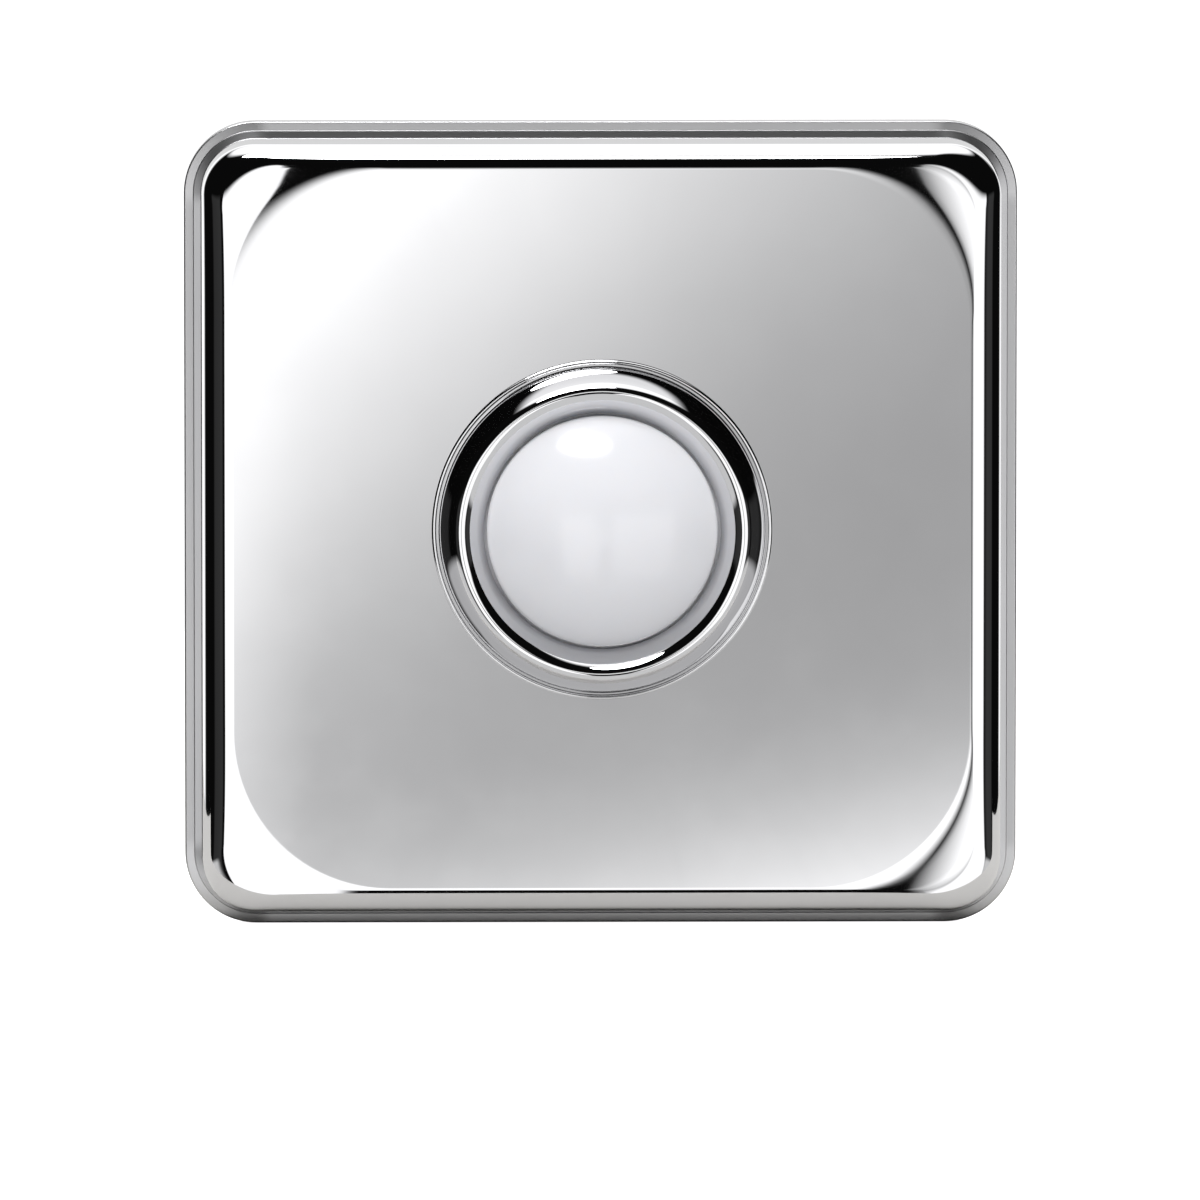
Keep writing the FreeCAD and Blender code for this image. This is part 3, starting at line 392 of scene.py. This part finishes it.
def innerRows():
    # the inside from its flat down to the foot, with corners that open over the roll
    roll, depth = cover["innerRoll"], cover["depth"] - cover["wall"]
    lean = radians(cover["draft"])
    start = cover["flangeWidth"] + cover["wall"] + wallRun(roll, depth)
    tightest = cover["corner"] - start - roll * cos(lean)
    opening = cover["innerCorner"] - cover["wall"] - tightest
    foot = cover["flangeWidth"] + cover["wall"]
    rows = [(foot, 0, cover["corner"] - foot, 0, 0),
            (foot, 0, cover["corner"] - foot, cover["flangeThick"], 0)]
    for step in range(cover["innerSteps"] + 1):
        turn = lean + (pi / 2 - lean) * step / cover["innerSteps"]
        inset = start + roll * (cos(lean) - cos(turn))
        corner = cover["corner"] - inset + opening * (1 - cos(turn))
        rows.append((inset, 0, corner, depth - roll * (1 - sin(turn)), 0))
    return rows[::-1]


def liftOf(number, loops):
    # loops in one plane are kept apart in height while they are joined
    top = len(outerRows()) + 1
    return cover["apart"] * (number if number <= top else len(loops) - number)


def fallOf(x, z, behind):
    # the land falls away from the flat face at a small slope after a root that is widest at the
    # corners, so the roll sinks there
    corner = cover["faceCorner"]
    across = abs(x) - (cover["width"] / 2 - cover["faceInset"] - cover["faceAcross"] - corner)
    upward = abs(z) - (cover["height"] / 2 - cover["faceInset"] - corner)
    outer = hypot(max(across, 0), max(upward, 0))
    away = outer + min(max(across, upward), 0) - corner - behind
    root = cover["sideRoot"]
    if across > 0 and upward > 0:
        diagonal = 2 * across * upward / (outer * outer)
        root += (cover["cornerRoot"] - root) * diagonal
    slope, more = tan(radians(cover["slope"])), tan(radians(cover["steepening"]))
    if away <= 0:
        return 0
    if away < root:
        return slope * away * away / (2 * root)
    return slope * (away - root / 2) + more * (away - root) ** 2 / 2


def settleLoops(obj, loops):
    # sinks every loop to its own height and the corners' land below it
    numbers = obj.data.attributes["loop"].data
    lifts = [liftOf(number, loops) for number in range(1, len(loops) + 1)]
    rollEnd = outerRows()[-cover["landSteps"] - 1][0]
    drops = []
    for vertex in obj.data.vertices:
        number = numbers[vertex.index].value
        inset, share = loops[number - 1][0], loops[number - 1][-1]
        fall = 0
        if share:
            fall = share * fallOf(vertex.co.x / mm, vertex.co.z / mm, max(0, rollEnd - inset))
        drops.append(fall + lifts[number - 1])
    deepest = max(drops)
    group = obj.vertex_groups.new(name="droop")
    for index, drop in enumerate(drops):
        group.add([index], drop / deepest, "REPLACE")
    droop = obj.modifiers.new("droop", "DISPLACE")
    droop.direction = "Y"
    droop.mid_level = 0
    droop.strength = deepest * mm
    droop.vertex_group = "droop"
    applyAll(obj)
    obj.vertex_groups.clear()


def makeCover():
    obj = startPiece("cover_shell")
    loops = outerRows()
    loops += [(None, 0, cover["hole"], cover["depth"], 0),
              (None, 0, cover["hole"], cover["depth"] - cover["wall"], 0)]
    loops += innerRows()
    for number, (inset, across, corner, rise, _) in enumerate(loops, 1):
        lifted = rise + liftOf(number, loops)
        if inset is None:
            addCircle(corner, lifted, number)
        else:
            addOutline(inset, across, corner, lifted, number)
        if number > 1:
            joinLoops(number - 1, number)
    joinLoops(len(loops), 1)
    bpy.ops.object.mode_set(mode="OBJECT")
    settleLoops(obj, loops)
    bpy.ops.object.mode_set(mode="EDIT")
    for side in (-1, 1):
        for level in (-1, 1):
            addRib(side, level)
    finishPiece(obj, "base", plateChrome(), ["cover_plate"])


def plateChrome():
    # mirror chrome above the flange; on the flange satin roughness and a base colour darkened as
    # painted shade of the same metal
    material = surface("plate_chrome", looks["chrome"])
    tree = material.node_tree
    shader = tree.nodes["Principled BSDF"]
    place = tree.nodes.new("ShaderNodeTexCoord")
    split = tree.nodes.new("ShaderNodeSeparateXYZ")
    tree.links.new(place.outputs["Object"], split.inputs["Vector"])
    height = mathNode(tree, "MULTIPLY", split.outputs["Y"], -1 / mm)
    top = cover["satinTop"]
    satinAndShade = mathNode(tree, "SUBTRACT", 1.0, fade(tree, height, top, top + cover["satinEdge"]))
    polish = shader.inputs["Roughness"].links[0].from_socket
    rough = mathNode(tree, "MAXIMUM", polish,
                     mathNode(tree, "MULTIPLY", satinAndShade, cover["satinRough"]))
    tree.links.new(rough, shader.inputs["Roughness"])
    color = shader.inputs["Base Color"].links[0].from_socket
    shade = tree.nodes.new("ShaderNodeVectorMath")
    shade.operation = "SCALE"
    tree.links.new(color, shade.inputs[0])
    # painted shade: the flange's base colour is darkened by this share
    paintedShadeShare = mathNode(tree, "MULTIPLY", satinAndShade, 1 - cover["paintedShadeLevel"])
    tree.links.new(mathNode(tree, "SUBTRACT", 1.0, paintedShadeShare), shade.inputs["Scale"])
    tree.links.new(shade.outputs["Vector"], shader.inputs["Base Color"])
    return material


def addRib(side, level):
    # one catch rib on the inside of a side wall, rooted in the wall
    wallAt = (cover["width"] / 2 - cover["flangeWidth"] - cover["wall"]
              - (cover["ribBack"] - cover["flangeThick"]) * tan(radians(cover["draft"])))
    out, tip = wallAt + cover["wall"] / 2, wallAt - cover["ribDeep"]
    size = (out - tip, cover["ribHigh"], cover["ribLong"])
    middle = (side * (out + tip) / 2, -cover["ribBack"] - cover["ribHigh"] / 2,
              level * cover["ribPlace"])
    bpy.ops.mesh.select_all(action="DESELECT")
    bpy.ops.mesh.primitive_cube_add(size=mm, location=[v * mm for v in middle])
    bpy.ops.transform.resize(value=size, center_override=[v * mm for v in middle])
    bpy.ops.mesh.bevel(offset=cover["ribRound"] * mm, segments=2, affect="EDGES")


makeCover()


# bezel: one turned profile

bezel = {
    "face": 8.0, "foot": 8.4, "flankFootEnd": 12.74, "beadRadius": 0.18,
    "grooveFoot": 8.1, "edge": 13.25, "crest": 11.2, "crestMiddle": 11.0,
    "crestRoll": 0.7, "flank": 5.5, "flankAngle": 50.0,
    "innerRolls": [(0.8, 0, 25), (2.3, 25, 34), (0.6, 34, 51)],
    "lipRadius": 9.2, "lipBack": 8.9, "lipRound": 0.08,
    "guide": 10.2, "collar": 11.1, "collarEnd": 3.9, "chamfer": 0.25,
    "groove": 4.5, "grooveHalf": 0.4, "grooveRadius": 10.5,
    "sealIn": 11.4, "sealOut": 12.2, "sealDeep": 0.6, "steps": 160,
    "beadSteps": 16, "flankSteps": 24, "crestSteps": 16, "innerSteps": 12, "lipSteps": 5,
    "lipFrom": 115,
}


def outerProfile():
    # collar, seal seat, foot bead with its groove, and flank, as (radius, height)
    over = radians(bezel["flankAngle"])
    crestAt = (bezel["crestMiddle"], bezel["crest"] - bezel["crestRoll"])
    flankAt = (crestAt[0] + (bezel["crestRoll"] - bezel["flank"]) * sin(over),
               crestAt[1] + (bezel["crestRoll"] - bezel["flank"]) * cos(over))
    low = degrees(asin((bezel["foot"] - flankAt[1]) / bezel["flank"]))
    bead = bezel["beadRadius"]
    beadAt = (bezel["edge"] - bead, bezel["foot"] - bead)
    sealFront = bezel["face"] + bezel["sealDeep"]
    points = [(bezel["collar"] - bezel["chamfer"], bezel["collarEnd"]),
              (bezel["collar"], bezel["collarEnd"] + bezel["chamfer"]),
              (bezel["collar"], bezel["face"]),
              (bezel["sealIn"], bezel["face"]),
              (bezel["sealIn"], sealFront),
              (bezel["sealOut"], sealFront),
              (bezel["sealOut"], bezel["face"]),
              (bezel["edge"], bezel["face"])]
    points += arc(beadAt, bead, 0, 180, bezel["beadSteps"])
    points += [(beadAt[0] - bead, bezel["grooveFoot"]),
               (bezel["flankFootEnd"], bezel["grooveFoot"]),
               (bezel["flankFootEnd"], bezel["foot"])]
    top = 90 - bezel["flankAngle"]
    points += arc(flankAt, bezel["flank"], low, top, bezel["flankSteps"])
    return points + arc(crestAt, bezel["crestRoll"], top, 90, bezel["crestSteps"])[1:]


def innerProfile():
    # inner side of the crest, funnel, rounded lip, guide bore and the groove near its end
    at = (bezel["crestMiddle"], bezel["crest"])
    points = []
    for radius, first, last in bezel["innerRolls"]:
        middle = (at[0] + radius * sin(radians(first)), at[1] - radius * cos(radians(first)))
        points += arc(middle, radius, 90 + first, 90 + last, bezel["innerSteps"])[1:]
        at = points[-1]
    slope = tan(radians(bezel["innerRolls"][-1][2]))
    turn = bezel["lipRound"]
    lipFront = at[1] - (at[0] - bezel["lipRadius"]) * slope
    lip = bezel["lipRadius"] + turn
    points += arc((lip, lipFront - turn / 2), turn, bezel["lipFrom"], 180, bezel["lipSteps"])
    points += arc((lip, bezel["lipBack"] + turn), turn, 180, 270, bezel["lipSteps"])
    top = bezel["groove"] + bezel["grooveHalf"]
    low = bezel["groove"] - bezel["grooveHalf"]
    return points + [(bezel["guide"], bezel["lipBack"]),
                     (bezel["guide"], top), (bezel["grooveRadius"], top),
                     (bezel["grooveRadius"], low), (bezel["guide"], low),
                     (bezel["guide"], bezel["collarEnd"]),
                     (bezel["collar"] - bezel["chamfer"], bezel["collarEnd"])]


def makeBezel():
    obj = startPiece("bezel_turned")
    latheRing(outerProfile() + innerProfile(), bezel["steps"])
    finishPiece(obj, "base", materials["chrome"], ["bezel_ring"])


makeBezel()


# opal button

button = {
    "radius": 9.0, "dome": 15.0, "top": 12.9, "edge": 0.6, "flange": 10.12,
    "flangeFront": 8.85, "back": 7.85, "wall": 1.2, "steps": 128,
    "domeSteps": 32, "edgeSteps": 12, "innerSteps": 24,
}


def makeButton():
    obj = startPiece("button_cap")
    domeCentre = button["top"] - button["dome"]
    small = button["edge"]
    filletAt = button["radius"] - small
    filletUp = domeCentre + sqrt((button["dome"] - small) ** 2 - filletAt ** 2)
    tangent = degrees(atan2(filletUp - domeCentre, filletAt))
    bore = button["radius"] - button["wall"]
    innerDome = button["dome"] - button["wall"]
    innerTangent = degrees(acos(bore / innerDome))
    profile = arc((0, domeCentre), button["dome"], 90, tangent, button["domeSteps"])
    profile += arc((filletAt, filletUp), small, tangent, 0, button["edgeSteps"])[1:]
    profile += [(button["radius"], button["flangeFront"]),
                (button["flange"], button["flangeFront"]),
                (button["flange"], button["back"]),
                (bore, button["back"])]
    profile += arc((0, domeCentre), innerDome, innerTangent, 90, button["innerSteps"])
    latheRing(profile, button["steps"])
    finishPiece(obj, "button", materials["opal"], ["push_button"])


makeButton()


# return spring: a wire section wound by a screw

spring = {
    "middle": 4.4, "wire": 0.5, "turns": 5.5, "back": 1.8, "front": 7.25, "travel": 1.5,
    "sides": 14, "stepsPerTurn": 36,
}


def makeSpring():
    obj = startPiece("spring_coil")
    rise = spring["front"] - spring["back"] - spring["wire"]
    bpy.ops.mesh.primitive_circle_add(
        vertices=spring["sides"], radius=spring["wire"] / 2 * mm,
        location=(spring["middle"] * mm, -(spring["back"] + spring["wire"] / 2) * mm, 0))
    bpy.ops.object.mode_set(mode="OBJECT")
    wind = obj.modifiers.new("wind", "SCREW")
    wind.axis = "Y"
    wind.angle = spring["turns"] * 2 * pi
    wind.screw_offset = -rise * mm
    wind.steps = wind.render_steps = int(spring["turns"] * spring["stepsPerTurn"])
    wind.use_smooth_shade = True
    obj.data.transform(obj.matrix_world)
    obj.matrix_world.identity()
    applyAll(obj)
    bpy.ops.object.mode_set(mode="EDIT")
    bpy.ops.mesh.select_all(action="SELECT")
    bpy.ops.mesh.fill_holes(sides=0)
    finishPiece(obj, "base", materials["spring_steel"], ["return_spring"],
                weighted=False)
    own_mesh(obj)


makeSpring()


# studio: floor, world, lights and camera. The floor's sizes are in metres, but its drop below
# the plate's middle is in millimetres

floor = {
    "half": 0.112, "front": -0.0142, "back": 0.25, "drop": 31.42,
    "color": (0.66, 0.65, 0.63), "second": (0.64, 0.63, 0.61), "toCamera": 1.0,
    "scale": 12, "roughness": 0.8, "specular": 0.1,
}


def makeFloor():
    deselectAll()
    bpy.ops.mesh.primitive_plane_add(size=1)
    obj = bpy.context.object
    obj.name = "floor"
    obj.scale = (2 * floor["half"], floor["back"] - floor["front"], 1)
    obj.location = (0, (floor["back"] + floor["front"]) / 2, -floor["drop"] * mm)
    bpy.ops.object.transform_apply(location=True, rotation=True, scale=True)
    material, tree, shader, place = newMaterial("floor_white")
    tint = noise(tree, place, floor["scale"], noiseDetail["tint"])
    tree.links.new(blendColors(tree, tint.outputs["Fac"], floor["color"], floor["second"]),
                   shader.inputs["Base Color"])
    shader.inputs["Roughness"].default_value = floor["roughness"]
    shader.inputs["Specular IOR Level"].default_value = floor["specular"]
    # the camera sees the floor as white as the room behind it
    path = tree.nodes.new("ShaderNodeLightPath")
    shader.inputs["Emission Color"].default_value = (1, 1, 1, 1)
    tree.links.new(mathNode(tree, "MULTIPLY", path.outputs["Is Camera Ray"], floor["toCamera"]),
                   shader.inputs["Emission Strength"])
    obj.data.materials.append(material)


# the white room that the chrome reflects. Azimuths run from the front to the right and
# elevations up from the horizon, in degrees; each stop is (angle, brightness)
room = {
    "sides": [(-180, 0.85), (-165, 0.9), (-150, 1.5), (-124, 1.5), (-115, 0.004), (-68, 0.004),
              (-63, 0.035), (-34, 0.045), (-31, 0.004), (-25, 0.004), (-23.5, 0), (6.8, 0),
              (7.2, 1.5), (43, 1.5), (46, 0.004), (58, 0.05), (78, 0.045), (82, 0.004),
              (126, 0.004), (134, 1.4), (150, 1.3), (165, 0.9), (180, 0.85)],
    "frontMask": [(-25, 0), (-23.5, 1), (4.0, 1), (5.6, 0.03), (6.8, 0.03), (7.2, 0)],
    "frontFoot": (-12.0, -9.5), "frontFootFrom": (-1.5, -0.4),
    "frontBase": 0.35, "frontMost": 1.05, "mirror": 0.68, "glowSlope": 0.9, "lowSlope": 0.2,
    "glow": [(-7, 0), (-6.3, 0.02), (-5.8, 0.07), (-5.4, 0.15), (-5.0, 0.27), (-4.6, 0.43),
             (-4.2, 0.61), (-3.8, 1.0)],
    "lowGlow": [(5.4, 0), (5.7, 0.02), (5.9, 0.06), (6.05, 0.13), (6.2, 0.23), (6.35, 0.38),
                (6.55, 0.7)],
    "edgeGlow": [(-2, 1), (-0.6, 0.5), (-0.25, 0.14), (0, 0)],
    "columnMiddle": 1.0, "columnHalf": (4.85, 5.15), "columnFoot": (-3.8, 0.4),
    "panelTop": (4.0, 9.0), "panelFoot": (-31.0, -29.5), "behind": (0.3, 0.6),
    "ceilingFrom": (50.0, 60.0), "backCeilingFrom": (18.0, 42.0), "ceiling": 1.5,
    "lowerFrom": (28.0, 34.0), "lowerSide": (13.0, 18.0), "aside": (-0.8, -0.6), "lower": 0.8,
    "darkest": 0.004, "toCamera": 1.2,
}


def unlit(tree, value):
    return mathNode(tree, "SUBTRACT", 1.0, value)


def frontLevel(tree, azimuth, elevation):
    # the soft gradient just ahead: a glow up to the left, one low on the right and the edge of
    # the left panel
    upper = mathNode(tree, "SUBTRACT", elevation,
                     mathNode(tree, "MULTIPLY", azimuth, room["glowSlope"]))
    low = mathNode(tree, "SUBTRACT", mathNode(tree, "MULTIPLY", azimuth, room["lowSlope"]),
                   elevation)
    level = mathNode(tree, "ADD", rampOf(tree, upper, room["glow"]), room["frontBase"])
    level = mathNode(tree, "ADD", level, rampOf(tree, low, room["lowGlow"]))
    level = mathNode(tree, "ADD", level, rampOf(tree, azimuth, room["edgeGlow"]))
    level = mathNode(tree, "MINIMUM", level, room["frontMost"])
    level = mathNode(tree, "DIVIDE", level, room["mirror"])
    below = mathNode(tree, "MULTIPLY", unlit(tree, fade(tree, elevation, *room["frontFoot"])),
                     fade(tree, azimuth, *room["frontFootFrom"]))
    level = mathNode(tree, "MULTIPLY", level, unlit(tree, below))
    return mathNode(tree, "MULTIPLY", level, rampOf(tree, azimuth, room["frontMask"]))


def makeWorld():
    world = bpy.data.worlds.new("studio")
    bpy.context.scene.world = world
    world.use_nodes = True
    tree = world.node_tree
    background = tree.nodes["Background"]
    place = tree.nodes.new("ShaderNodeTexCoord")
    split = tree.nodes.new("ShaderNodeSeparateXYZ")
    tree.links.new(place.outputs["Generated"], split.inputs["Vector"])
    across, back, up = split.outputs["X"], split.outputs["Y"], split.outputs["Z"]
    ahead = mathNode(tree, "MULTIPLY", back, -1.0)
    azimuth = mathNode(tree, "DEGREES", mathNode(tree, "ARCTAN2", across, ahead))
    elevation = mathNode(tree, "DEGREES", mathNode(tree, "ARCSINE", up))
    around = mathNode(tree, "MAXIMUM", rampOf(tree, azimuth, room["sides"]),
                      frontLevel(tree, azimuth, elevation))
    # the panels in front end just above the horizon and well below it; behind, the white goes on
    behind = fade(tree, back, *room["behind"])
    panel = mathNode(tree, "MULTIPLY", unlit(tree, fade(tree, elevation, *room["panelTop"])),
                     fade(tree, elevation, *room["panelFoot"]))
    level = mathNode(tree, "MULTIPLY", around, mathNode(tree, "MAXIMUM", behind, panel))
    # the gap that the camera looks through
    aside = mathNode(tree, "ABSOLUTE", mathNode(tree, "SUBTRACT", azimuth, room["columnMiddle"]))
    column = mathNode(tree, "MULTIPLY", fade(tree, elevation, *room["columnFoot"]),
                      unlit(tree, fade(tree, aside, *room["columnHalf"])))
    level = mathNode(tree, "MULTIPLY", level, unlit(tree, column))
    overhead = mathNode(tree, "MAXIMUM", fade(tree, elevation, *room["ceilingFrom"]),
                        mathNode(tree, "MULTIPLY", behind,
                                 fade(tree, elevation, *room["backCeilingFrom"])))
    ceiling = mathNode(tree, "MULTIPLY", overhead, room["ceiling"])
    depth = mathNode(tree, "MULTIPLY", elevation, -1.0)
    lower = mathNode(tree, "MAXIMUM", fade(tree, depth, *room["lowerFrom"]),
                     mathNode(tree, "MULTIPLY", fade(tree, depth, *room["lowerSide"]),
                              fade(tree, back, *room["aside"])))
    lower = mathNode(tree, "MULTIPLY", lower, room["lower"])
    for light in (ceiling, lower, room["darkest"]):
        level = mathNode(tree, "MAXIMUM", level, light)
    path = tree.nodes.new("ShaderNodeLightPath")
    seen = mathNode(tree, "MULTIPLY", path.outputs["Is Camera Ray"], room["toCamera"])
    tree.links.new(mathNode(tree, "MAXIMUM", level, seen), background.inputs["Strength"])
    background.inputs["Color"].default_value = (1, 1, 1, 1)


softboxes = {
    "key": {"azimuth": -14.0, "elevation": 50.0, "size": (0.52, 0.27), "radiance": 12.0},
    "fill": {"azimuth": -5.0, "elevation": 56.0, "size": (0.6, 0.6), "radiance": 5.0,
             "mirrored": False},
}


def makeSoftbox(name, box):
    # a white panel a metre away; its power follows from the radiance it should show
    data = bpy.data.lights.new(name, "AREA")
    data.shape = "ELLIPSE"
    data.size, data.size_y = box["size"]
    data.energy = box["radiance"] * pi * (pi / 4 * data.size * data.size_y)
    light = bpy.data.objects.new(name, data)
    light.visible_glossy = box.get("mirrored", True)
    bpy.context.scene.collection.objects.link(light)
    turn, lift = radians(box["azimuth"]), radians(box["elevation"])
    light.location = (sin(turn) * cos(lift), -cos(turn) * cos(lift), sin(lift))
    light.rotation_euler = light.location.to_track_quat("Z", "Y").to_euler()


view = {
    "azimuth": -1.0, "elevation": 5.1, "distance": 1.3, "pixelsPerMm": 12.79, "pixels": 1200,
    "across": 600.4, "down": 521.3, "ahead": 0.75, "sensor": 36.0,
    "clipEnd": 20,
}


def makeCamera():
    # looks at the middle of the picture, a little under the plate's own middle
    data = bpy.data.cameras.new("camera")
    camera = bpy.data.objects.new("camera", data)
    bpy.context.scene.collection.objects.link(camera)
    turn, lift = radians(view["azimuth"]), radians(view["elevation"])
    toCamera = Vector((sin(turn) * cos(lift), -cos(turn) * cos(lift), sin(lift)))
    half = view["pixels"] / 2
    aim = Vector(((half - view["across"]) / view["pixelsPerMm"], -view["ahead"],
                  (view["down"] - half) / view["pixelsPerMm"])) * mm
    camera.location = aim + toCamera * view["distance"]
    camera.rotation_euler = toCamera.to_track_quat("Z", "Y").to_euler()
    data.sensor_width = view["sensor"]
    data.lens = view["pixelsPerMm"] / mm * view["distance"] * view["sensor"] / view["pixels"]
    data.clip_end = view["clipEnd"]
    bpy.context.scene.camera = camera


makeFloor()
makeWorld()
for name, box in softboxes.items():
    makeSoftbox(name, box)
makeCamera()
settings = bpy.context.scene.view_settings
settings.view_transform = "Standard"
settings.look = "None"
print("studio ready")
